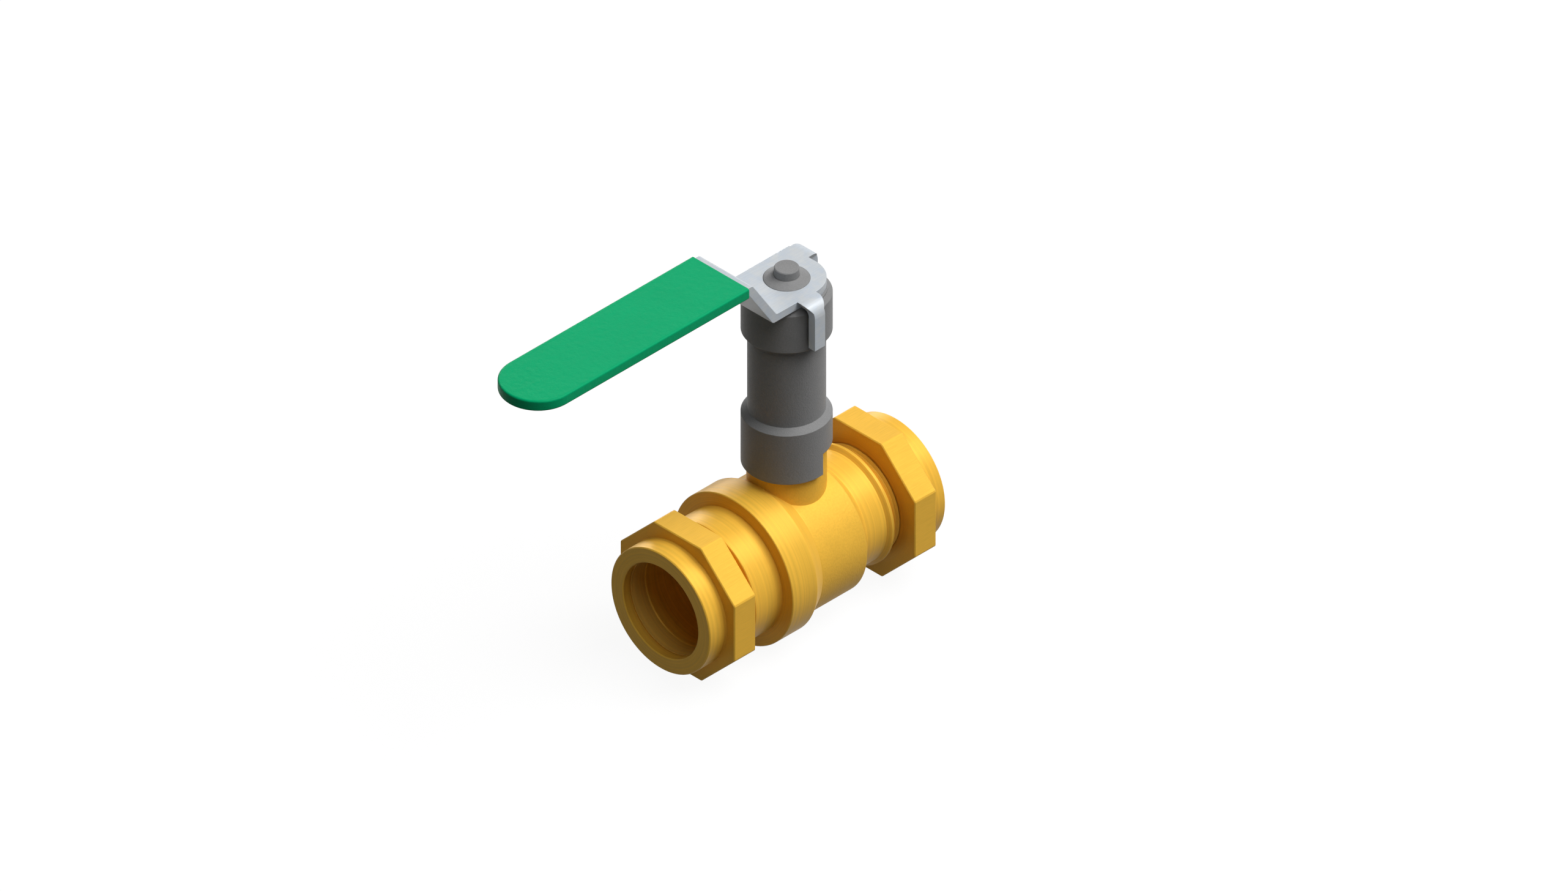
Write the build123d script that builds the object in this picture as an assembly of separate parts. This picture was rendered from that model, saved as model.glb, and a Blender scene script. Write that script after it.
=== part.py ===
from build123d import *
import os

# Compression ball valve for 35 mm tube, with a turning extension neck and a flat lever.
# Millimetres. The tube axis is X, the stem axis is +Z, and the two cross at the origin.
# The lever is at "open": it lies along -X, over the screwed-in end of the body.

# Tube, socket and compression thread
tube_radius = 17.5
tube_clearance = 0.15
port_radius = 14.0
socket_depth = 22.0
thread_wall = 2.45
thread_depth = 0.8
thread_clearance = 0.05
thread_shown_left = 3.55
thread_shown_right = 4.65
thread_engaged = 9.6
mouth_length = 2.4
mouth_rise = 1.25

# Olive and compression nut
olive_gap = 0.08
olive_back = 1.7
olive_proud = 0.3
olive_crest = 2.4
nut_octagon_length = 10.1
nut_collar_length = 8.0
nut_flat_wall = 6.85
nut_collar_wall = 5.75
nut_edge = 0.35

# Ball, seats and the chamber around them
ball_wall = 6.0
ball_port_edge = 0.5
chamber_gap = 0.6
seat_gap = 0.2
seat_face = 5.4
seat_depth = 2.7
seat_rim = 4.0
seat_inset = 0.2
pocket_clearance = 0.05

# Body: barrel, shoulder, neck and bead on the right, threaded ring on the left
barrel_wall = 4.8
shoulder_cover = 0.1
neck_wall = 3.25
neck_length = 9.3
bead_height = 1.4
bead_ramp = 1.2
bead_length = 1.3
ring_thread_wall = 1.75
ring_wall = 5.95
ring_length = 11.5
ring_cone_length = 5.4
ring_thread_length = 12.5
body_edge = 0.3

# Body end: tail neck, spigot and the sealing ring trapped behind its thread
tail_length = 12.7
tail_shoulder = 1.05
spigot_length = 1.2
joint_seal_thickness = 1.2

# Stem boss with the lug that stops the lever
stem_radius = 7.0
stem_clearance = 0.1
gland_wall = 2.5
boss_wall = 4.0
boss_top = 46.0
lug_angle = 22.0
lug_reach = 1.7
lug_foot = 26.0
lug_top_clearance = 0.3
stop_clearance = 0.5
lever_sweep = 90.0

# Stem, its thrust washer, ring seal, packing and gland nut
tang_thickness = 6.0
tang_clearance = 0.1
slot_depth = 4.6
flange_lift = 0.9
flange_thickness = 2.6
flange_reach = 2.0
washer_thickness = 1.2
face_gap = 0.05
seal_section = 1.6
seal_height = 30.0
packing_floor = 36.8
packing_height = 4.2
gland_head_flats = 19.0
gland_head_height = 4.5
gland_head_chamfer = 0.8
stem_collar_rise = 0.5
stem_square = 9.6
stem_square_height = 11.0

# Extension spindle and the cross pin that joins it to the stem
spindle_socket_wall = 2.6
spindle_socket_height = 14.75
spindle_cone_height = 2.0
spindle_rod_radius = 7.2
spindle_square = 10.0
spindle_pin_radius = 4.25
spindle_pin_height = 4.6
square_clearance = 0.1
cross_pin_radius = 1.5
cross_pin_clearance = 0.03
cross_pin_rise = 5.8

# Extension sleeve: wide collar below with the stop notch, column, spigot for the cap
sleeve_bottom = 32.4
sleeve_clearance = 0.15
collar_wall = 1.75
collar_height = 20.0
collar_roof = 1.2
collar_cone_height = 2.0
column_radius = 13.2
column_wall = 2.6
column_top = 83.8
notch_height = 8.7
notch_edge_angle = -82.8
cap_spigot_height = 11.2
cap_spigot_wall = 1.3
guide_thickness = 3.0

# Cap under the lever
cap_lip_height = 2.2
cap_height = 15.1
cap_cone = 1.6
cap_disc_height = 0.7
cap_clearance = 0.05
cap_wall_above_spigot = 4.0

# Lever, bent from sheet, and its grip
sheet = 3.0
lever_width = 25.0
head_front = 13.6
head_corner = 12.3
head_back = 17.3
neck_run = 11.3
neck_rise = 17.1
blade_centre = 117.3
bend_break = 0.5
lever_edge = 0.25
tab_width = 4.8
tab_flare = 2.0
tab_reach = 6.4
tab_bend = 2.1
tab_bottom = 88.2
side_tab_centre = -3.15
front_tab_centre = 7.7
grip_start = 31.15
grip_face_wall = 0.6
grip_side_wall = 1.0
grip_fit = 0.02
grip_edge = 0.7

# Push-on retaining collar over the spindle pin
retainer_radius = 8.0
retainer_height = 1.5
retainer_lip = 0.4
pin_clearance = 0.05

# Worked-out radii, from the tube axis outwards
ball_radius = port_radius + ball_wall
socket_radius = tube_radius + tube_clearance
thread_radius = socket_radius + thread_wall
thread_root = thread_radius - thread_depth
nut_bore = thread_radius + thread_clearance
chamber_radius = ball_radius + chamber_gap
barrel_radius = chamber_radius + barrel_wall
neck_radius = socket_radius + neck_wall
bead_radius = neck_radius + bead_height
ring_thread_radius = chamber_radius + ring_thread_wall
ring_radius = ring_thread_radius + ring_wall
tail_radius = ring_thread_radius + tail_shoulder
seat_radius = port_radius + seat_rim
pocket_radius = seat_radius + pocket_clearance

# Worked-out places along the tube axis, as distances from the stem axis
port_edge = (ball_radius**2 - port_radius**2) ** 0.5
seat_back = port_edge + seat_depth
chamber_half = seat_back - seat_face
shoulder_end = seat_back + shoulder_cover
barrel_end = shoulder_end - (barrel_radius - neck_radius)
neck_end = shoulder_end + neck_length
bead_end = neck_end + bead_ramp + bead_length
nut_back_right = bead_end + thread_shown_right
mouth_right = nut_back_right + thread_engaged
seal_step = chamber_half + spigot_length
ring_end = seal_step + ring_thread_length
ring_start = ring_end - ring_length
cone_end = ring_start - ring_cone_length
tail_end = ring_end + tail_length
nut_back_left = tail_end + thread_shown_left
mouth_left = nut_back_left + thread_engaged

# Worked-out heights and radii round the stem axis
stem_bore = stem_radius + stem_clearance
slot_floor = ball_radius - slot_depth
flange_radius = stem_radius + flange_reach
flange_bottom = ball_radius + flange_lift
flange_top = flange_bottom + flange_thickness
washer_bottom = flange_top + face_gap
washer_top = washer_bottom + washer_thickness
shoulder_height = washer_top + face_gap
packing_radius = stem_radius + gland_wall
boss_bore = packing_radius + pocket_clearance
boss_radius = packing_radius + boss_wall
packing_top = packing_floor + packing_height
gland_head_top = boss_top + face_gap + gland_head_height
stem_shank_top = gland_head_top + stem_collar_rise
stem_square_top = stem_shank_top + stem_square_height
collar_bore = boss_radius + sleeve_clearance
collar_radius = collar_bore + collar_wall
collar_top = sleeve_bottom + collar_height
collar_ceiling = collar_top - collar_roof
column_bore = column_radius - column_wall
notch_top = sleeve_bottom + notch_height
lug_start = notch_edge_angle + lever_sweep + stop_clearance
notch_sweep = lever_sweep + lug_angle + 2 * stop_clearance
spindle_bottom = collar_ceiling + face_gap
spindle_socket_radius = stem_square / 2**0.5 + spindle_socket_wall
spindle_socket_top = spindle_bottom + spindle_socket_height
cap_bottom = column_top
cap_rim = cap_bottom + cap_lip_height
cap_shoulder = cap_rim + cap_height
lever_bottom = cap_shoulder + cap_cone + cap_disc_height
lever_top = lever_bottom + sheet
cap_disc_radius = collar_radius - cap_cone
cap_spigot_radius = column_bore + cap_spigot_wall
cap_spigot_top = column_top + cap_spigot_height
spindle_shoulder = cap_spigot_top + cap_wall_above_spigot
blade_top = lever_top + neck_rise


def outline(*points):
    """Closed outline; a third value on a point breaks that corner by so much."""
    corners = []
    for place, point in enumerate(points):
        here = Vector(*point[:2])
        if len(point) == 2:
            corners.append(here)
            continue
        for other in (points[place - 1], points[(place + 1) % len(points)]):
            toward = (Vector(*other[:2]) - here).normalized()
            corners.append(here + toward * point[2])
    return make_face(Polyline(*corners, close=True))


def turned_x(*points):
    """Solid turned about the tube axis from (distance, radius) points."""
    return revolve(Plane.XZ * outline(*points), Axis.X)


def turned_z(*points):
    """Solid turned about the stem axis from (radius, height) points."""
    return revolve(Plane.XZ * outline(*points), Axis.Z)


def post(radius, low, high):
    """Plain round bar on the stem axis."""
    return Pos(0, 0, low) * extrude(Circle(radius), high - low)


def square_post(flats, low, high):
    """Square bar on the stem axis."""
    return Pos(0, 0, low) * extrude(Rectangle(flats, flats), high - low)


def wedge(radius, start, sweep, low, high):
    """Sector about the stem axis, from one angle through a sweep, under 180 degrees."""
    rim = CenterArc((0, 0), radius, start, sweep)
    face = make_face([rim, Line((0, 0), rim @ 0), Line(rim @ 1, (0, 0))])
    return Pos(0, 0, low) * extrude(face, high - low)


def mirrored(shape):
    """The same piece on the lever's side of the stem."""
    return Rot(0, 0, 180) * shape


def socket_hole(mouth):
    """Hole for the tube, with the cone that the olive seats in and the stop for the tube."""
    floor = mouth - socket_depth
    return turned_x(
        (floor, 0),
        (floor, socket_radius),
        (mouth - mouth_length, socket_radius),
        (mouth, socket_radius + mouth_rise),
        (mouth + 1, socket_radius + mouth_rise),
        (mouth + 1, 0),
    )


def passage(far):
    """Waterway from the chamber outwards, with the seat's pocket."""
    return turned_x(
        (0, 0),
        (0, pocket_radius),
        (seat_back, pocket_radius),
        (seat_back, port_radius),
        (far, port_radius),
        (far, 0),
    )


def valve_body():
    """Cast barrel, ring, neck and stem boss in one, bored and threaded."""
    shell = turned_x(
        (-ring_end, 0),
        (-ring_end, ring_radius, body_edge),
        (-ring_start, ring_radius),
        (-cone_end, barrel_radius),
        (barrel_end, barrel_radius),
        (shoulder_end, neck_radius),
        (neck_end, neck_radius),
        (neck_end + bead_ramp, bead_radius),
        (bead_end, bead_radius, body_edge),
        (bead_end, thread_root),
        (mouth_right, thread_root),
        (mouth_right, 0),
    )
    boss = post(boss_radius, 0, boss_top)
    boss = chamfer(boss.edges().group_by(Axis.Z)[-1], body_edge)
    lug = wedge(boss_radius + lug_reach, lug_start, lug_angle, lug_foot, notch_top - lug_top_clearance)
    shell = shell + boss + lug
    chamber = turned_x(
        (-ring_end, 0),
        (-ring_end, ring_thread_radius + thread_clearance),
        (-seal_step, ring_thread_radius + thread_clearance),
        (-seal_step, chamber_radius),
        (chamber_half, chamber_radius),
        (chamber_half, 0),
    )
    shell = shell - chamber - passage(mouth_right) - socket_hole(mouth_right)
    shell = shell - post(flange_radius + pocket_clearance, 0, shoulder_height)
    shell = shell - post(stem_bore, 0, boss_top)
    return shell - post(boss_bore, packing_floor, boss_top)


def body_end():
    """Tail that screws into the ring, holds one seat and carries the other thread."""
    seal_back = seal_step + joint_seal_thickness
    spigot_radius = chamber_radius - pocket_clearance
    tail = turned_x(
        (chamber_half, 0),
        (chamber_half, spigot_radius),
        (seal_back, spigot_radius),
        (seal_back, ring_thread_radius),
        (ring_end, ring_thread_radius),
        (ring_end, tail_radius),
        (tail_end, tail_radius, body_edge),
        (tail_end, thread_root),
        (mouth_left, thread_root),
        (mouth_left, 0),
    )
    return mirrored(tail - passage(mouth_left) - socket_hole(mouth_left))


def body_joint_seal():
    """Flat ring squeezed between the end of the thread and the step in the body."""
    return mirrored(
        turned_x(
            (seal_step, chamber_radius),
            (seal_step, ring_thread_radius),
            (seal_step + joint_seal_thickness, ring_thread_radius),
            (seal_step + joint_seal_thickness, chamber_radius),
        )
    )


def seat():
    """Sealing ring behind the ball, hollowed to the ball's curve."""
    section = outline(
        (chamber_half + seat_inset, port_radius),
        (chamber_half + seat_inset, seat_radius),
        (seat_back, seat_radius),
        (seat_back, port_radius),
    )
    return revolve(Plane.XZ * (section - Circle(ball_radius + seat_gap)), Axis.X)


def ball():
    """Ball with its through port and the slot across its top for the stem's tang."""
    bored = Sphere(ball_radius) - Rot(0, 90, 0) * Cylinder(port_radius, 2 * ball_radius)
    along = bored.edges().group_by(Axis.X)
    bored = chamfer(along[0] + along[-1], ball_port_edge)
    slot_width = tang_thickness + 2 * tang_clearance
    slot = Pos(0, 0, slot_floor) * extrude(Rectangle(slot_width, 2 * ball_radius), 2 * slot_depth)
    return bored - slot


def stem():
    """Stem put in from inside: tang, flange, round shank with a seal groove, square top."""
    groove_radius = stem_radius - seal_section + face_gap
    groove_low = seal_height - seal_section / 2 - face_gap
    groove_high = seal_height + seal_section / 2 + face_gap
    shank = turned_z(
        (0, flange_bottom),
        (flange_radius, flange_bottom, body_edge),
        (flange_radius, flange_top),
        (stem_radius, flange_top),
        (stem_radius, groove_low),
        (groove_radius, groove_low),
        (groove_radius, groove_high),
        (stem_radius, groove_high),
        (stem_radius, stem_shank_top),
        (0, stem_shank_top),
    )
    tang_low = slot_floor + tang_clearance
    tang_section = Rectangle(tang_thickness, 2 * stem_radius) & Circle(stem_radius)
    tang = Pos(0, 0, tang_low) * extrude(tang_section, flange_bottom - tang_low)
    top = square_post(stem_square, gland_head_top, stem_square_top)
    top = chamfer(top.edges().group_by(Axis.Z)[-1], body_edge)
    return shank + tang + top - cross_hole()


def stem_o_ring():
    """Round-section rubber ring in the stem's groove."""
    section = seal_section / 2
    return Pos(0, 0, seal_height) * Torus(stem_radius - section + face_gap, section)


def thrust_washer():
    """Low-friction washer between the stem's flange and the body."""
    return turned_z(
        (stem_bore, washer_bottom),
        (flange_radius, washer_bottom),
        (flange_radius, washer_top),
        (stem_bore, washer_top),
    )


def gland_packing():
    """Packing ring in the boss, pressed by the gland nut."""
    return turned_z(
        (stem_bore, packing_floor),
        (packing_radius, packing_floor),
        (packing_radius, packing_top),
        (stem_bore, packing_top),
    )


def gland_nut():
    """Hexagon-headed hollow screw that presses the packing."""
    shank = turned_z(
        (stem_bore, packing_top),
        (packing_radius, packing_top),
        (packing_radius, boss_top + face_gap),
        (stem_bore, boss_top + face_gap),
    )
    hexagon = RegularPolygon(gland_head_flats / 2, 6, major_radius=False)
    head_bottom = boss_top + face_gap
    head = Pos(0, 0, head_bottom) * extrude(hexagon, gland_head_height)
    crown = turned_z(
        (0, head_bottom),
        (gland_head_flats / 2 + 2 * gland_head_chamfer, head_bottom),
        (gland_head_flats / 2 + 2 * gland_head_chamfer, gland_head_top - gland_head_chamfer),
        (gland_head_flats / 2 - gland_head_chamfer, gland_head_top),
        (0, gland_head_top),
    )
    return shank + (head & crown) - post(stem_bore, boss_top, gland_head_top + 1)


def cross_hole():
    """Hole for the cross pin, through spindle and stem."""
    place = Pos(0, 0, spindle_bottom + cross_pin_rise) * Rot(0, 90, 0)
    return place * Cylinder(cross_pin_radius + cross_pin_clearance, 4 * stem_radius)


def coupling_pin():
    """Cross pin that fixes the spindle on the stem."""
    length = 2 * (spindle_socket_radius - body_edge)
    pin = chamfer(Cylinder(cross_pin_radius, length).edges().filter_by(GeomType.CIRCLE), body_edge)
    return Pos(0, 0, spindle_bottom + cross_pin_rise) * Rot(0, 90, 0) * pin


def extension_spindle():
    """Spindle from the stem's square up through the cap and lever, with a round pin on top."""
    rod = turned_z(
        (0, spindle_bottom),
        (spindle_socket_radius, spindle_bottom, body_edge),
        (spindle_socket_radius, spindle_socket_top),
        (spindle_rod_radius, spindle_socket_top + spindle_cone_height),
        (spindle_rod_radius, spindle_shoulder),
        (0, spindle_shoulder),
    )
    drive = square_post(spindle_square, spindle_shoulder, lever_top - face_gap)
    pin = turned_z(
        (0, spindle_shoulder),
        (spindle_pin_radius, spindle_shoulder),
        (spindle_pin_radius, lever_top + spindle_pin_height, body_edge),
        (0, lever_top + spindle_pin_height),
    )
    socket = square_post(stem_square + 2 * square_clearance, spindle_bottom, stem_square_top + face_gap)
    return rod + drive + pin - socket - cross_hole()


def extension_sleeve():
    """Turning sleeve: collar over the boss with the stop notch, column and cap spigot."""
    guide_bore = spindle_rod_radius + cap_clearance
    sleeve = turned_z(
        (collar_bore, sleeve_bottom),
        (collar_radius, sleeve_bottom, nut_edge),
        (collar_radius, collar_top),
        (column_radius, collar_top + collar_cone_height),
        (column_radius, column_top),
        (cap_spigot_radius, column_top),
        (cap_spigot_radius, cap_spigot_top, body_edge),
        (guide_bore, cap_spigot_top),
        (guide_bore, cap_spigot_top - guide_thickness),
        (column_bore, cap_spigot_top - guide_thickness),
        (column_bore, collar_ceiling),
        (collar_bore, collar_ceiling),
    )
    notch = wedge(2 * collar_radius, notch_edge_angle, notch_sweep, sleeve_bottom - 1, notch_top)
    return sleeve - notch


def extension_cap():
    """Cap on the sleeve's spigot, with the square drive hole and the disc the lever sits on."""
    cap = turned_z(
        (0, cap_bottom + cap_clearance),
        (column_radius, cap_bottom + cap_clearance),
        (column_radius, cap_rim),
        (collar_radius, cap_rim, nut_edge),
        (collar_radius, cap_shoulder),
        (cap_disc_radius, cap_shoulder + cap_cone),
        (cap_disc_radius, lever_bottom),
        (0, lever_bottom),
    )
    bore = turned_z(
        (0, cap_bottom),
        (cap_spigot_radius + cap_clearance, cap_bottom),
        (cap_spigot_radius + cap_clearance, cap_spigot_top + cap_clearance),
        (spindle_rod_radius + cap_clearance, cap_spigot_top + cap_clearance),
        (spindle_rod_radius + cap_clearance, spindle_shoulder + cap_clearance),
        (0, spindle_shoulder + cap_clearance),
    )
    drive = square_post(spindle_square + 2 * square_clearance, spindle_shoulder, lever_bottom + 1)
    return cap - bore - drive


def lever_tab():
    """Tab bent down from the edge X = 0 towards +X, flared where it leaves the plate."""
    half = tab_width / 2
    strip = outline(
        (-1, lever_bottom),
        (-1, lever_top),
        (tab_reach, lever_top),
        (tab_reach, tab_bottom, lever_edge),
        (tab_reach - sheet, tab_bottom, lever_edge),
        (tab_reach - sheet, lever_bottom),
    )
    outer = strip.vertices().sort_by_distance((tab_reach, lever_top))[0]
    strip = fillet(outer, tab_bend + sheet)
    inner = strip.vertices().sort_by_distance((tab_reach - sheet, lever_bottom))[0]
    strip = fillet(inner, tab_bend)
    band = extrude(Plane.XZ * strip, half + tab_flare, both=True)
    front = outline(
        (-half - tab_flare, lever_top),
        (half + tab_flare, lever_top),
        (half, lever_bottom),
        (half, tab_bottom, lever_edge),
        (-half, tab_bottom, lever_edge),
        (-half, lever_bottom),
    )
    return band & (Pos(-2, 0, 0) * extrude(Plane.YZ * front, 2 * tab_reach))


def lever():
    """Lever bent from one sheet: head with two stop tabs, raised neck and flat blade."""
    half = lever_width / 2
    tip = -blade_centre - half
    back = -head_back - neck_run
    bend_shift = sheet * neck_rise / (neck_run + (neck_run**2 + neck_rise**2) ** 0.5)
    side = outline(
        (head_front, lever_top),
        (-head_back, lever_top, bend_break),
        (back, blade_top, bend_break),
        (tip, blade_top),
        (tip, blade_top - sheet),
        (back - bend_shift, blade_top - sheet, bend_break),
        (-head_back - bend_shift, lever_bottom, bend_break),
        (head_front, lever_bottom),
    )
    plan = Pos((head_front - blade_centre) / 2, 0) * Rectangle(head_front + blade_centre, lever_width)
    plan = fillet(plan.vertices().sort_by_distance((head_front, -half))[0], head_corner)
    plan += Pos(-blade_centre, 0) * Circle(half)
    sheet_metal = extrude(Plane.XZ * side, half, both=True) & extrude(plan, 2 * blade_top)
    side_tab = Pos(side_tab_centre, -half, 0) * Rot(0, 0, -90) * lever_tab()
    front_tab = Pos(head_front, front_tab_centre, 0) * lever_tab()
    drive = square_post(spindle_square + 2 * square_clearance, lever_bottom - 1, lever_top + 1)
    return sheet_metal + side_tab + front_tab - drive


def blade_outline(start, half):
    """Straight sides from a start line to a round tip on the blade's own centre."""
    straight = Pos(-(start + blade_centre) / 2, 0) * Rectangle(blade_centre - start, 2 * half)
    return straight + Pos(-blade_centre, 0) * Circle(half)


def grip_sleeve():
    """Soft sleeve stretched over the blade, closed at the tip."""
    half = lever_width / 2
    low = blade_top - sheet
    plan = blade_outline(grip_start, half + grip_side_wall)
    shell = Pos(0, 0, low - grip_face_wall) * extrude(plan, sheet + 2 * grip_face_wall)
    rims = shell.edges().filter_by(Axis.Z, reverse=True).filter_by(Axis.Y, reverse=True)
    shell = fillet(rims, grip_edge)
    pocket = blade_outline(grip_start - 1, half + grip_fit)
    return shell - Pos(0, 0, low - grip_fit) * extrude(pocket, sheet + 2 * grip_fit)


def retaining_collar():
    """Cone-shaped push-on collar that holds the lever down on the spindle's pin."""
    bore = spindle_pin_radius + pin_clearance
    return turned_z(
        (bore, lever_top),
        (retainer_radius, lever_top),
        (bore + retainer_lip, lever_top + retainer_height),
        (bore, lever_top + retainer_height),
    )


def olive():
    """Soft ring with two cones that the nut squeezes on the tube; the mouth is at zero."""
    slope = mouth_rise / mouth_length
    crest = socket_radius + mouth_rise + olive_proud * slope - olive_gap
    edge = crest - (olive_back + olive_proud) * slope
    return turned_x(
        (-olive_back, socket_radius),
        (-olive_back, edge),
        (olive_proud, crest),
        (olive_proud + olive_crest, crest),
        (2 * olive_proud + olive_crest + olive_back, edge),
        (2 * olive_proud + olive_crest + olive_back, socket_radius),
    )


def compression_nut():
    """Eight-sided nut with its round collar outwards; the tube's mouth is at zero."""
    back = -thread_engaged
    middle = back + nut_octagon_length
    front = middle + nut_collar_length
    cone_end_x = 2 * olive_proud + olive_crest + mouth_length
    cone_start_x = 2 * olive_proud + olive_crest - olive_proud / 2
    cone_start_radius = socket_radius + (cone_end_x - cone_start_x) * mouth_rise / mouth_length
    octagon = Rot(0, 0, 22.5) * RegularPolygon(nut_bore + nut_flat_wall, 8, major_radius=False)
    block = Pos(back, 0, 0) * extrude(Plane.YZ * octagon, nut_octagon_length)
    block = chamfer(block.edges(), nut_edge)
    collar_outside = socket_radius + nut_collar_wall
    collar = turned_x((back, 0), (back, collar_outside), (front, collar_outside, nut_edge), (front, 0))
    hole = turned_x(
        (back - 1, 0),
        (back - 1, nut_bore),
        (cone_start_x, nut_bore),
        (cone_start_x, cone_start_radius),
        (cone_end_x, socket_radius),
        (front - nut_edge, socket_radius),
        (front + 1, socket_radius + nut_edge + 1),
        (front + 1, 0),
    )
    return block + collar - hole


def at_mouths(piece, name):
    """The same piece at both tube mouths."""
    return {
        f"{name}_left": mirrored(Pos(mouth_left, 0, 0) * piece),
        f"{name}_right": Pos(mouth_right, 0, 0) * piece,
    }


pieces = {
    "valve_body": valve_body(),
    "body_end": body_end(),
    "body_joint_seal": body_joint_seal(),
    "seat_left": mirrored(seat()),
    "seat_right": seat(),
    "ball": ball(),
    "stem": stem(),
    "stem_o_ring": stem_o_ring(),
    "thrust_washer": thrust_washer(),
    "gland_packing": gland_packing(),
    "gland_nut": gland_nut(),
    "coupling_pin": coupling_pin(),
    "extension_spindle": extension_spindle(),
    "extension_sleeve": extension_sleeve(),
    "extension_cap": extension_cap(),
    "lever": lever(),
    "grip_sleeve": grip_sleeve(),
    "retaining_collar": retaining_collar(),
}
pieces.update(at_mouths(olive(), "olive"))
pieces.update(at_mouths(compression_nut(), "nut"))

os.makedirs("parts", exist_ok=True)
for name, piece in pieces.items():
    export_step(piece, f"parts/{name}.step")
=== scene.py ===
import math

import bpy
from mathutils import Matrix, Vector


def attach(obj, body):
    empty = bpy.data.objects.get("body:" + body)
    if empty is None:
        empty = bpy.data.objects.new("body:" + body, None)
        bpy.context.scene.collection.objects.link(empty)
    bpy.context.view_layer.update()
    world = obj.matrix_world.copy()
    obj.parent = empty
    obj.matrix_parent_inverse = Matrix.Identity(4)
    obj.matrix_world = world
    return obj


# Looks of a compression ball valve with an extension neck and a green lever.
# Metres, in the part's own frame: the tube axis is X, the stem axis is +Z.

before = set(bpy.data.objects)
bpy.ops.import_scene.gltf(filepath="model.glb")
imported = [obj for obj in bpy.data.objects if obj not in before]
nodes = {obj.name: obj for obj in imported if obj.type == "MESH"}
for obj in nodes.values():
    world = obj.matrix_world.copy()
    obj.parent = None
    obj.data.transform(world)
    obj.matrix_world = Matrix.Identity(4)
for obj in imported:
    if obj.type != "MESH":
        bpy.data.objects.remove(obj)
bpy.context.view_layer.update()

MM = 0.001

# Where one finish of the body gives way to the next
RING_CONE_END = -8.4 * MM
BARREL_END = 12.6 * MM
BOSS_RADIUS = 13.5 * MM
BOSS_MARGIN = 0.1 * MM
BOSS_FOOT = 12.0 * MM
TURNED_FADE = 0.4 * MM

# The nut's round collar ends where its flats begin
NUT_COLLAR_RADIUS = 23.6 * MM

# Lathe lines follow the axis plus this much of the radius, so that end faces and cones have them too
LATHE_SLOPE = 1.37

# The compression thread on each end of the valve, and the nut's own between its turns
THREAD_PITCH = 1.5 * MM
THREAD_ROOT = 19.3 * MM
THREAD_CREST = 20.1 * MM
NUT_BORE = 20.15 * MM
NUT_THREAD_CREST = 19.45 * MM
NUT_THREAD_TURNS = 6
THREAD_SINK = 0.05 * MM
THREAD_FLAT = 0.12 * MM
THREAD_STEPS = 96
THREAD_RUN_OUT = 0.5
LEFT_SHOULDER = -37.98 * MM
RIGHT_SHOULDER = 28.88 * MM

# Colours
BRASS = (0.88, 0.50, 0.058)
SOFT_BRASS = (0.88, 0.54, 0.10)
ZINC = (0.53, 0.57, 0.61)
ZINC_BLUE = (0.49, 0.54, 0.60, 1.0)
ZINC_WARM = (0.56, 0.58, 0.59, 1.0)
CHROME = (0.80, 0.81, 0.83, 1.0)
DARK_STEEL = (0.50, 0.51, 0.53, 1.0)
PALE_STEEL = (0.62, 0.63, 0.65, 1.0)
GREY = (0.235, 0.235, 0.235)
GREEN = (0.0005, 0.36, 0.142)
DARK_SEAL = (0.84, 0.84, 0.81, 1.0)
PALE_SEAL = (0.92, 0.92, 0.90, 1.0)
DARK_RUBBER = (0.012, 0.012, 0.012, 1.0)
PALE_RUBBER = (0.03, 0.03, 0.03, 1.0)

# How metallic the metals are, and how strongly each material reflects beside that
BRASS_METAL = 0.1
STEM_METAL = 0.85
ZINC_METAL = 0.15
METAL_SHEEN = 0.08
PLASTIC_SHEEN = 0.15
VINYL_SHEEN = 0.06

# How alike the plain and the softened normal are on a face, and on an edge that is worn
FACE_ALIKE = 0.995
EDGE_ALIKE = 0.9
BEVEL_SAMPLES = 6

# Sockets of the Mix node for its two colours and their mix
FIRST_COLOUR = 6
SECOND_COLOUR = 7
MIXED_COLOUR = 2

# Floor and room
FLOOR_HEIGHT = -28.3 * MM
FLOOR_REACH = 3.0
FLOOR_SIGNS = ((-1, -1), (1, -1), (1, 1), (-1, 1))
FLOOR_COLOUR = (0.08, 0.08, 0.08, 1.0)
FLOOR_WHITE = 0.93
ROOM_COLOUR = (1, 1, 1, 1)
FILL_LEVEL = 0.02

# The photo's isometric view: its right, its up, and the way from the object to the camera
SIDE = Vector((1, -1, 0)).normalized()
UP = Vector((1, 1, 2)).normalized()
AWAY = Vector((-1, -1, 1)).normalized()
AIM_SIDE = -0.88 * MM
AIM_UP = 30.94 * MM
CAMERA_DISTANCE = 1.0
PIXELS_PER_MM = 4.9
FRAME_PIXELS = 2563


class Value:
    """A socket that takes part in Python arithmetic."""

    def __init__(self, sheet, socket):
        self.sheet = sheet
        self.socket = socket

    def worked(self, operation, first, second):
        return self.sheet.node("ShaderNodeMath", {"operation": operation}, {0: first, 1: second})

    def __add__(self, other):
        return self.worked("ADD", self, other)

    def __sub__(self, other):
        return self.worked("SUBTRACT", self, other)

    def __rsub__(self, other):
        return self.worked("SUBTRACT", other, self)

    def __mul__(self, other):
        return self.worked("MULTIPLY", self, other)

    def __pow__(self, other):
        return self.worked("POWER", self, other)

    __radd__ = __add__
    __rmul__ = __mul__


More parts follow.
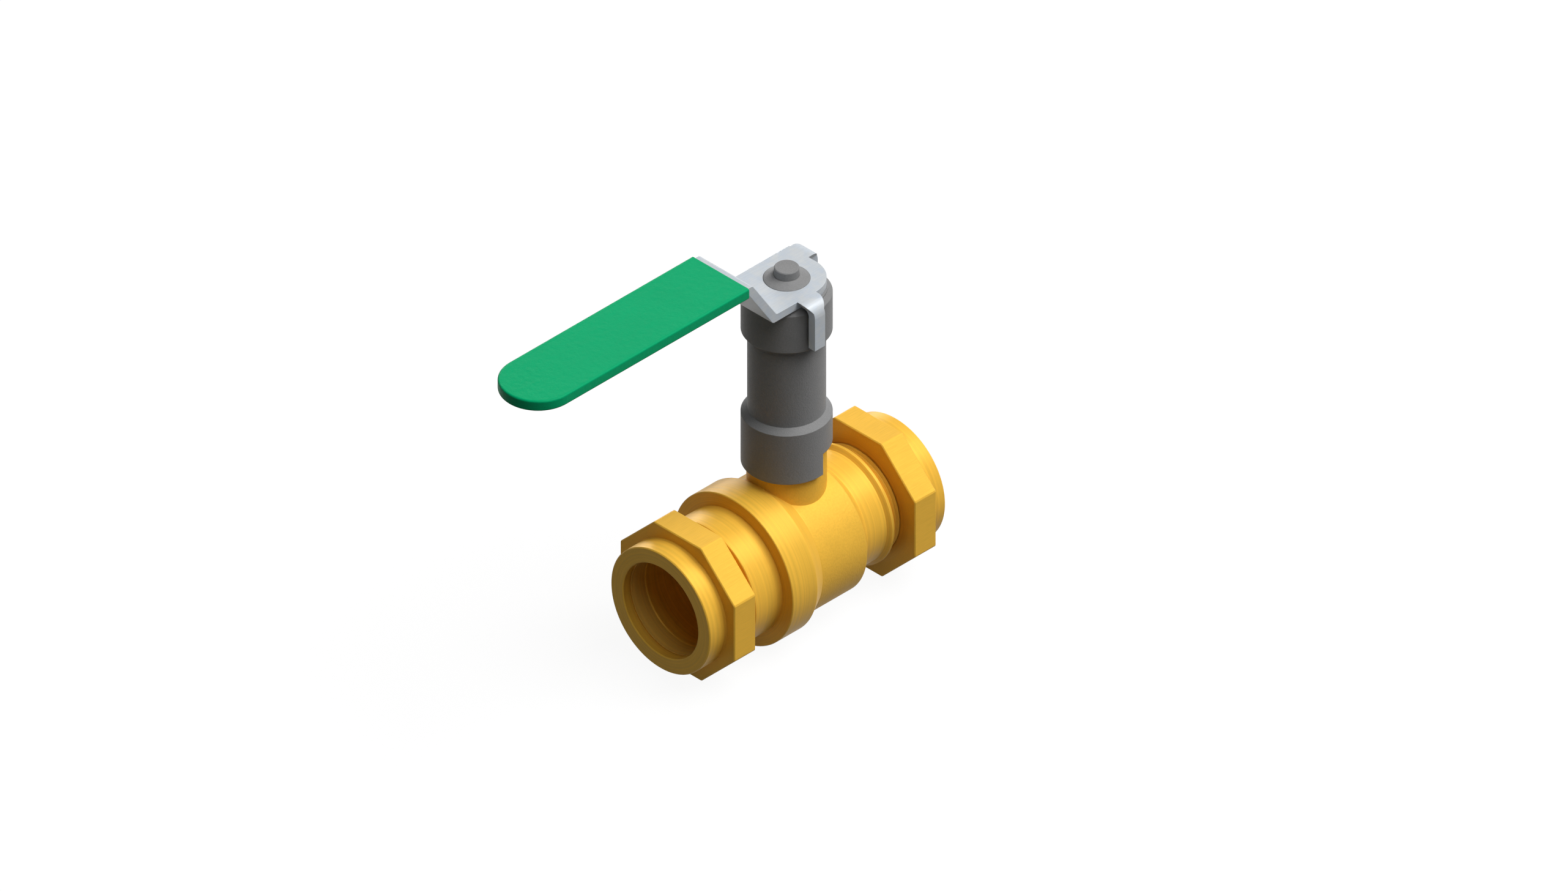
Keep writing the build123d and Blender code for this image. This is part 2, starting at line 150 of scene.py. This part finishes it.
class Sheet:
    """The nodes of a material or of the world, added one at a time."""

    def __init__(self, owner):
        owner.use_nodes = True
        self.tree = owner.node_tree

    def node(self, kind, settings=None, sockets=None, output=0):
        made = self.tree.nodes.new(kind)
        for name, setting in (settings or {}).items():
            setattr(made, name, setting)
        self.fill(made, sockets or {})
        return Value(self, made.outputs[output])

    def fill(self, made, sockets):
        for name, given in sockets.items():
            if isinstance(given, Value):
                self.tree.links.new(given.socket, made.inputs[name])
            else:
                made.inputs[name].default_value = given

    def step(self, value, low, high):
        """Goes smoothly from 0 to 1 while the value goes from low to high."""
        settings = {"interpolation_type": "SMOOTHSTEP"}
        sockets = {"Value": value, "From Min": low, "From Max": high}
        return self.node("ShaderNodeMapRange", settings, sockets)

    def background_rays(self):
        """1 for rays of the camera, of reflections and of glass, and 0 for others."""
        rays = ("Is Camera Ray", "Is Glossy Ray", "Is Transmission Ray")
        camera, glossy, through = (self.node("ShaderNodeLightPath", output=ray) for ray in rays)
        return camera + glossy + through


def shade(colour, level):
    """Lighter or darker shade of a colour, with its alpha."""
    return tuple(part * level for part in colour) + (1.0,)


class Finish(Sheet):
    """A material of the object."""

    def __init__(self, name):
        self.material = bpy.data.materials.new(name)
        super().__init__(self.material)
        self.shader = self.tree.nodes["Principled BSDF"]
        self.place = self.node("ShaderNodeTexCoord", output="Object")

    def along(self, axis):
        """Distance from the origin along X, Y or Z."""
        return self.node("ShaderNodeSeparateXYZ", sockets={0: self.place}, output=axis)

    def from_tube_axis(self):
        y, z = self.along("Y"), self.along("Z")
        return (y * y + z * z) ** 0.5

    def from_stem_axis(self):
        x, y = self.along("X"), self.along("Y")
        return (x * x + y * y) ** 0.5

    def grain(self, size, stretch=(1, 1, 1), detail=3.0, roughness=0.55):
        """Even noise with grains of about this size, drawn out along an axis."""
        across = [1 / (size * s) for s in stretch]
        spread = self.node("ShaderNodeMapping", sockets={"Vector": self.place, "Scale": across})
        sockets = {"Vector": spread, "Scale": 1.0, "Detail": detail, "Roughness": roughness}
        return self.node("ShaderNodeTexNoise", sockets=sockets)

    def tool_lines(self, distance, pitch):
        """Uneven fine lines of a cutting tool, one for about each pitch of the distance."""
        settings = {"noise_dimensions": "1D"}
        sockets = {"W": distance * (1 / pitch), "Scale": 1.0, "Detail": 2.0}
        return self.node("ShaderNodeTexNoise", settings, sockets)

    def contrast(self, noise, low=0.3, high=0.7):
        """Spreads noise, which keeps near one half, over the range from 0 to 1."""
        return self.step(noise, low, high)

    def blend(self, factor, first, second):
        """Mixes two colours."""
        settings = {"data_type": "RGBA"}
        sockets = {0: factor, FIRST_COLOUR: first, SECOND_COLOUR: second}
        return self.node("ShaderNodeMix", settings, sockets, output=MIXED_COLOUR)

    def clouded(self, noise, colour, low, high):
        """Drifts with noise between two shades of a colour."""
        return self.blend(noise, shade(colour, low), shade(colour, high))

    def toned(self, tint, where, amount, colour, level):
        """Moves a tint towards a shade of a colour, by up to this amount."""
        return self.blend(where * amount, tint, shade(colour, level))

    def relief(self, height, depth, below=None):
        """Bump of this depth in metres."""
        sockets = {"Height": height, "Distance": depth, "Strength": 1.0}
        if below is not None:
            sockets["Normal"] = below
        return self.node("ShaderNodeBump", sockets=sockets)

    def soft_edges(self, radius):
        """Normal that runs round the edges as if they had this radius."""
        return self.node("ShaderNodeBevel", {"samples": BEVEL_SAMPLES}, {"Radius": radius})

    def worn_edges(self, softened):
        """1 on the edges that the softened normal rounds, and 0 on the faces."""
        plain = self.node("ShaderNodeNewGeometry", output="Normal")
        settings = {"operation": "DOT_PRODUCT"}
        alike = self.node("ShaderNodeVectorMath", settings, {0: softened, 1: plain}, "Value")
        return self.step(alike, FACE_ALIKE, EDGE_ALIKE)

    def finished(self, **sockets):
        """Sets the shader's sockets, named with _ for a blank."""
        self.fill(self.shader, {name.replace("_", " "): given for name, given in sockets.items()})
        return self.material


def brass_finish(name, turned, colour=BRASS):
    """Brass, turned on a lathe where the mask says, and blasted or drawn elsewhere."""
    brass = Finish(name)
    outline = brass.along("X") + brass.from_tube_axis() * LATHE_SLOPE
    lathe = brass.tool_lines(outline, pitch=0.25 * MM)
    streaks = brass.tool_lines(outline, pitch=1.1 * MM)
    mask, skin, skin_depth = turned(brass)
    softened = brass.soft_edges(radius=0.25 * MM)
    worn = brass.worn_edges(softened)
    normal = brass.relief(lathe * mask, depth=0.035 * MM, below=softened)
    normal = brass.relief(skin * (1 - mask), depth=skin_depth, below=normal)
    streaked = mask * brass.contrast(streaks)
    rough_skin = (1 - mask) * brass.contrast(skin)
    tint = brass.clouded(brass.grain(size=9 * MM, detail=2.0), colour, low=0.93, high=1.05)
    tint = brass.toned(tint, streaked, amount=0.5, colour=colour, level=0.78)
    tint = brass.toned(tint, rough_skin, amount=0.3, colour=colour, level=0.72)
    tint = brass.toned(tint, worn, amount=0.5, colour=colour, level=1.12)
    return brass.finished(
        Base_Color=tint,
        Metallic=BRASS_METAL,
        Roughness=0.42 + 0.14 * skin - 0.16 * mask * streaks - 0.08 * worn,
        Normal=normal,
        Specular_IOR_Level=METAL_SHEEN,
    )


def body_skin(brass):
    """Blasted on the boss and between the ring's cone and the shoulder, and turned elsewhere."""
    along_tube = brass.along("X")
    left = brass.step(along_tube, RING_CONE_END + TURNED_FADE, RING_CONE_END)
    right = brass.step(along_tube, BARREL_END - TURNED_FADE, BARREL_END)
    above = brass.step(brass.along("Z"), BOSS_FOOT - TURNED_FADE, BOSS_FOOT)
    outside, inside = BOSS_RADIUS + TURNED_FADE, BOSS_RADIUS + BOSS_MARGIN
    boss = above * brass.step(brass.from_stem_axis(), outside, inside)
    mask = (left + right) * (1 - boss)
    return mask, brass.grain(size=0.7 * MM, detail=4.0, roughness=0.6), 0.1 * MM


def all_turned(brass):
    """Turned everywhere, so the skin shows in the roughness alone."""
    return 1.0, brass.grain(size=0.4 * MM), 0.0


def nut_skin(brass):
    """Turned collar and bore, and flats drawn along the bar."""
    radius = brass.from_tube_axis()
    mask = brass.step(radius, NUT_COLLAR_RADIUS + TURNED_FADE, NUT_COLLAR_RADIUS)
    return mask, brass.grain(size=0.3 * MM, stretch=(24, 1, 1)), 0.05 * MM


def stem_finish():
    """Stem and gland nut: turned about the stem axis."""
    brass = Finish("stem brass")
    outline = brass.along("Z") + brass.from_stem_axis() * LATHE_SLOPE
    lines = brass.tool_lines(outline, pitch=0.22 * MM)
    return brass.finished(
        Base_Color=brass.clouded(lines, BRASS, low=0.95, high=1.04),
        Metallic=STEM_METAL,
        Roughness=0.32 + 0.08 * lines,
        Normal=brass.relief(lines, depth=0.03 * MM, below=brass.soft_edges(radius=0.2 * MM)),
    )


def chrome_finish():
    """Polished ball with a slight haze."""
    chrome = Finish("polished chrome")
    haze = chrome.grain(size=6 * MM)
    return chrome.finished(Base_Color=CHROME, Metallic=1.0, Roughness=0.07 + 0.06 * haze)


def steel_finish():
    """Ground cross pin."""
    steel = Finish("ground steel")
    lines = steel.grain(size=0.15 * MM, stretch=(20, 1, 1))
    return steel.finished(
        Base_Color=steel.blend(lines, DARK_STEEL, PALE_STEEL),
        Metallic=1.0,
        Roughness=0.25 + 0.12 * lines,
        Normal=steel.relief(lines, depth=0.004 * MM),
    )


def zinc_finish():
    """Rolled sheet with thin zinc plating."""
    zinc = Finish("zinc-plated sheet")
    rolled = zinc.grain(size=0.3 * MM, stretch=(30, 1, 1))
    cloud = zinc.grain(size=4 * MM, detail=4.0, roughness=0.65)
    softened = zinc.soft_edges(radius=0.3 * MM)
    worn = zinc.worn_edges(softened)
    tint = zinc.blend(zinc.contrast(cloud), ZINC_BLUE, ZINC_WARM)
    tint = zinc.toned(tint, zinc.contrast(rolled), amount=0.35, colour=ZINC, level=0.8)
    tint = zinc.toned(tint, worn, amount=0.5, colour=ZINC, level=1.2)
    return zinc.finished(
        Base_Color=tint,
        Metallic=ZINC_METAL,
        Roughness=0.3 + 0.14 * rolled + 0.1 * cloud,
        Normal=zinc.relief(rolled, depth=0.022 * MM, below=softened),
        Specular_IOR_Level=METAL_SHEEN,
    )


def moulded_finish():
    """Grey moulded plastic with a fine eroded texture from its mould."""
    plastic = Finish("grey moulded plastic")
    texture = plastic.grain(size=0.55 * MM, detail=4.0, roughness=0.65)
    softened = plastic.soft_edges(radius=0.3 * MM)
    worn = plastic.worn_edges(softened)
    tint = plastic.clouded(plastic.grain(size=14 * MM, detail=2.0), GREY, low=0.92, high=1.07)
    tint = plastic.toned(tint, plastic.contrast(texture), amount=0.4, colour=GREY, level=0.75)
    tint = plastic.toned(tint, worn, amount=0.4, colour=GREY, level=1.5)
    return plastic.finished(
        Base_Color=tint,
        Roughness=0.44 + 0.16 * texture - 0.08 * worn,
        Normal=plastic.relief(texture, depth=0.09 * MM, below=softened),
        Specular_IOR_Level=PLASTIC_SHEEN,
    )


def vinyl_finish():
    """Green dipped vinyl: a soft sheen with a slight ripple."""
    vinyl = Finish("green dipped vinyl")
    ripple = vinyl.grain(size=2.6 * MM, detail=2.0)
    pores = vinyl.grain(size=0.35 * MM)
    tint = vinyl.clouded(vinyl.grain(size=18 * MM), GREEN, low=0.93, high=1.06)
    tint = vinyl.toned(tint, vinyl.contrast(pores), amount=0.3, colour=GREEN, level=0.8)
    normal = vinyl.relief(ripple, depth=0.09 * MM, below=vinyl.soft_edges(radius=0.5 * MM))
    return vinyl.finished(
        Base_Color=tint,
        Roughness=0.36 + 0.14 * pores,
        Normal=vinyl.relief(pores, depth=0.02 * MM, below=normal),
        Specular_IOR_Level=VINYL_SHEEN,
    )


def seal_finish():
    """White seats, washer, packing and joint seal."""
    seal = Finish("white seal plastic")
    grain = seal.grain(size=0.6 * MM)
    return seal.finished(
        Base_Color=seal.blend(grain, DARK_SEAL, PALE_SEAL),
        Roughness=0.4 + 0.1 * grain,
        Normal=seal.relief(grain, depth=0.01 * MM),
    )


def rubber_finish():
    """Black ring seal of the stem."""
    rubber = Finish("black rubber")
    grain = rubber.grain(size=0.3 * MM)
    return rubber.finished(
        Base_Color=rubber.blend(grain, DARK_RUBBER, PALE_RUBBER),
        Roughness=0.55 + 0.15 * grain,
        Normal=rubber.relief(grain, depth=0.01 * MM),
    )


body_brass = brass_finish("body brass", body_skin)
turned_brass = brass_finish("turned brass", all_turned)
nut_brass = brass_finish("nut brass", nut_skin)
olive_brass = brass_finish("olive brass", all_turned, SOFT_BRASS)
stem_brass = stem_finish()
grey_plastic = moulded_finish()
seal_plastic = seal_finish()

finishes = {
    "valve_body": body_brass,
    "body_end": turned_brass,
    "nut_left": nut_brass,
    "nut_right": nut_brass,
    "olive_left": olive_brass,
    "olive_right": olive_brass,
    "stem": stem_brass,
    "gland_nut": stem_brass,
    "ball": chrome_finish(),
    "coupling_pin": steel_finish(),
    "lever": zinc_finish(),
    "grip_sleeve": vinyl_finish(),
    "extension_spindle": grey_plastic,
    "extension_sleeve": grey_plastic,
    "extension_cap": grey_plastic,
    "retaining_collar": grey_plastic,
    "seat_left": seal_plastic,
    "seat_right": seal_plastic,
    "thrust_washer": seal_plastic,
    "gland_packing": seal_plastic,
    "body_joint_seal": seal_plastic,
    "stem_o_ring": rubber_finish(),
}
for name, finish in finishes.items():
    materials = nodes[name].data.materials
    materials.clear()
    materials.append(finish)


def placed(name, corners, faces, material):
    """Makes an object from its corners and faces, where they are."""
    mesh = bpy.data.meshes.new(name)
    mesh.from_pydata(corners, [], faces)
    mesh.materials.append(material)
    made = bpy.data.objects.new(name, mesh)
    bpy.context.scene.collection.objects.link(made)
    return made


def thread(name, start, way, turns, base, crest, finish, body):
    """Ridge that winds round the tube axis from its start, to -X or +X, always right-handed."""
    half = THREAD_PITCH / 2
    profile = [
        (0.0, base),
        (half - THREAD_FLAT / 2, crest),
        (half + THREAD_FLAT / 2, crest),
        (THREAD_PITCH - THREAD_FLAT / 2, base),
    ]
    steps = turns * THREAD_STEPS
    length = (turns + 1) * THREAD_PITCH
    corners = []
    for step in range(steps + 1):
        turned = step / THREAD_STEPS
        angle = way * turned * 2 * math.pi
        for across, reach in profile:
            travel = turned * THREAD_PITCH + across
            # Each end runs out into the cylinder that the ridge stands on
            full = min(1.0, min(travel, length - travel) / (THREAD_RUN_OUT * THREAD_PITCH))
            radius = base + (reach - base) * full
            corners.append((start + way * travel, -radius * math.sin(angle), radius * math.cos(angle)))

    # All faces look out of the ridge, whether it points away from the tube axis or towards it
    outward = crest > base
    sides = len(profile)
    first_end = tuple(range(sides))
    last_end = tuple(range(steps * sides, (steps + 1) * sides))
    faces = [first_end, last_end[::-1]] if outward else [first_end[::-1], last_end]
    for low in range(0, steps * sides, sides):
        for side in range(sides):
            one, two = low + side, low + (side + 1) % sides
            first, third = (one + sides, two) if outward else (two, one + sides)
            faces.append((first, two + sides, third, one))

    piece = placed(name, corners, faces, finish)
    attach(piece, body)


def threads(side, way, shoulder, turns, turns_before_nut):
    """The thread on one end of the valve, and its nut's in the grooves between."""
    start = shoulder + way * THREAD_FLAT
    thread(
        f"thread_{side}",
        start,
        way,
        turns,
        base=THREAD_ROOT - THREAD_SINK,
        crest=THREAD_CREST,
        finish=turned_brass,
        body="valve",
    )
    thread(
        f"nut_thread_{side}",
        start + way * turns_before_nut * THREAD_PITCH,
        way,
        NUT_THREAD_TURNS,
        base=NUT_BORE + THREAD_SINK,
        crest=NUT_THREAD_CREST,
        finish=nut_brass,
        body=f"nut_body_{side}",
    )


threads("left", way=-1, shoulder=LEFT_SHOULDER, turns=7, turns_before_nut=2.5)
threads("right", way=1, shoulder=RIGHT_SHOULDER, turns=8, turns_before_nut=3.5)


def pale_floor():
    """Pale floor that the camera and reflections see as white, with its shadow."""
    material = bpy.data.materials.new("pale floor")
    floor = Sheet(material)
    seen = floor.background_rays()
    white = floor.node("ShaderNodeEmission", sockets={"Strength": seen * FLOOR_WHITE})
    matt = floor.node("ShaderNodeBsdfDiffuse", sockets={"Color": FLOOR_COLOUR})
    both = floor.node("ShaderNodeAddShader", sockets={0: white, 1: matt})
    floor.fill(floor.tree.nodes["Material Output"], {"Surface": both})
    return material


floor_corners = [(FLOOR_REACH * x, FLOOR_REACH * y, FLOOR_HEIGHT) for x, y in FLOOR_SIGNS]
floor = placed("floor", floor_corners, [(0, 1, 2, 3)], pale_floor())


def soft_light(name, direction, strength, spread):
    """Light from far away in this direction, spread over an angle."""
    lamp = bpy.data.lights.new(name, "SUN")
    lamp.energy = strength
    lamp.angle = spread
    light = bpy.data.objects.new(name, lamp)
    light.rotation_euler = Vector(direction).to_track_quat("Z", "Y").to_euler()
    bpy.context.scene.collection.objects.link(light)


soft_light("key", direction=(0.36, -0.42, 0.86), strength=3.15, spread=0.75)
soft_light("top light", direction=(-0.16, -0.46, 0.86), strength=0.65, spread=0.6)
soft_light("back light", direction=(0.56, 0.80, 0.05), strength=1.3, spread=0.5)

# Room: white to the camera and in reflections, and a weak fill
world = bpy.data.worlds.new("studio")
bpy.context.scene.world = world
room = Sheet(world)
seen = room.background_rays()
level = FILL_LEVEL + seen * (1 - FILL_LEVEL)
sky = room.node("ShaderNodeBackground", sockets={"Color": ROOM_COLOUR, "Strength": level})
room.fill(room.tree.nodes["World Output"], {"Surface": sky})

lens = bpy.data.cameras.new("camera")
lens.type = "ORTHO"
lens.ortho_scale = FRAME_PIXELS / PIXELS_PER_MM * MM
camera = bpy.data.objects.new("camera", lens)
aim = SIDE * AIM_SIDE + UP * AIM_UP
camera.location = aim + AWAY * CAMERA_DISTANCE
turn = Matrix((SIDE, UP, AWAY)).transposed()
camera.rotation_euler = turn.to_euler()
bpy.context.scene.collection.objects.link(camera)
bpy.context.scene.camera = camera

view = bpy.context.scene.view_settings
view.view_transform = "Standard"
